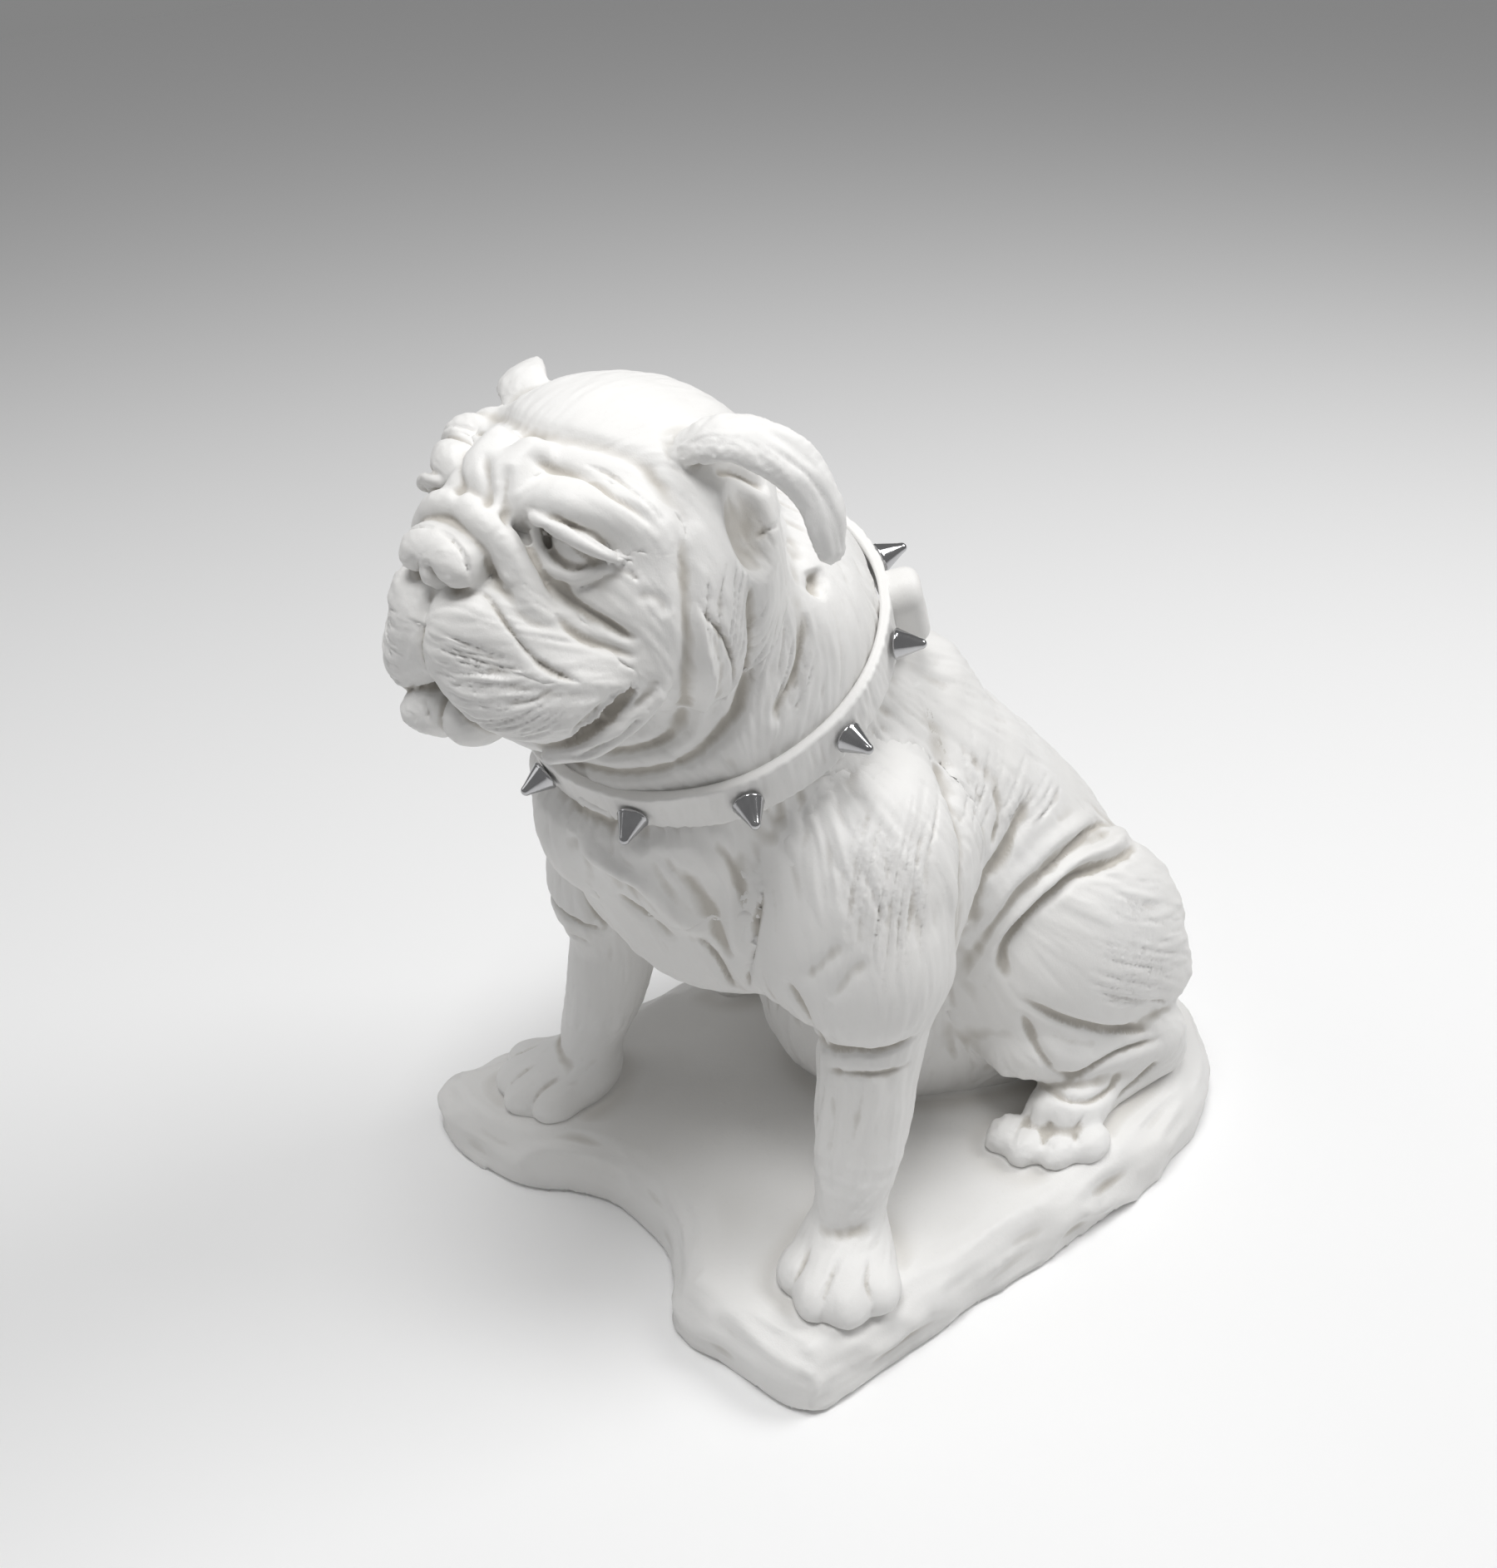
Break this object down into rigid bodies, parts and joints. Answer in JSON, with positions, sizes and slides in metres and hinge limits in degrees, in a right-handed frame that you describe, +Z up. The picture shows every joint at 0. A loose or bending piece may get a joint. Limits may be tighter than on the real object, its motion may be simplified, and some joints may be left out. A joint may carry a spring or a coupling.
{
  "type": "bulldog garden statue",
  "caption": "Seated bulldog cast in white on a low freeform base, with a moulded collar set with polished metal cone spikes.",
  "frame": {"origin": "on the flat underside, below the chest between the forelegs and the haunches", "axes": "+Z up, -Y the way the dog faces, +X the dog's left side"},
  "size_m": [0.307, 0.3733, 0.4151],
  "materials": {
    "cast_white": "matte cast white with a faint satin skin",
    "spike_metal": "polished"
  },
  "bodies": {
    "root": {"bulldog": "cast_white", "spike_01": "spike_metal", "spike_02": "spike_metal", "spike_03": "spike_metal", "spike_04": "spike_metal", "spike_05": "spike_metal", "spike_06": "spike_metal", "spike_07": "spike_metal", "spike_08": "spike_metal", "spike_09": "spike_metal", "spike_10": "spike_metal", "spike_11": "spike_metal"}
  },
  "joints": []
}
